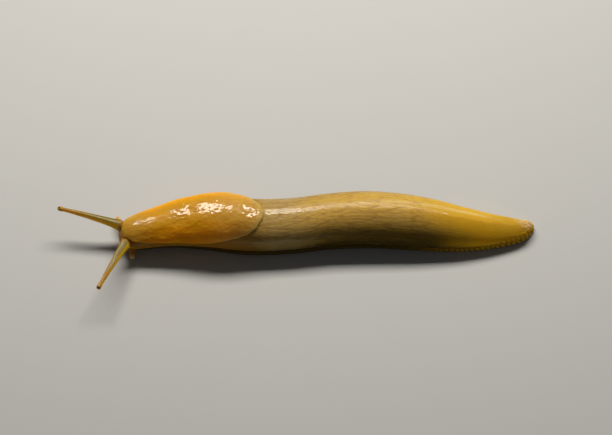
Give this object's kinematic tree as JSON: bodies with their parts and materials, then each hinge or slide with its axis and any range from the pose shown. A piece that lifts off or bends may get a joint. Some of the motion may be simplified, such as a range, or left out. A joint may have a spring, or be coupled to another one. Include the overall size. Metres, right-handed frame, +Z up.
{
  "type": "banana slug model",
  "caption": "Life-size still model of a crawling banana slug: long bent body on a fringed sole, smooth mantle, stretched feelers with eyes at their tips.",
  "frame": {"origin": "middle of the model's bounding box in plan, on the surface it rests on", "axes": "+X from the head towards the tail, +Y towards the slug's right side, +Z up"},
  "size_m": [0.171, 0.0424, 0.017],
  "materials": {
    "body_skin": "wet, finely furrowed skin",
    "mantle_skin": "wet, smooth skin",
    "foot_skin": "wet, grooved fringe",
    "feeler_skin": "wet, slightly clear skin",
    "eye": "glossy black"
  },
  "bodies": {
    "root": {"head": "body_skin", "neck": "body_skin", "torso_front": "body_skin", "torso_middle": "body_skin", "torso_rear": "body_skin", "tail": "body_skin", "tail_tip": "body_skin", "mantle": "mantle_skin", "foot_front": "foot_skin", "foot_middle": "foot_skin", "foot_rear": "foot_skin", "foot_tail": "foot_skin", "upper_feeler_left": "feeler_skin", "upper_feeler_right": "feeler_skin", "lower_feeler_left": "feeler_skin", "lower_feeler_right": "feeler_skin", "eye_left": "eye", "eye_right": "eye"}
  },
  "joints": []
}
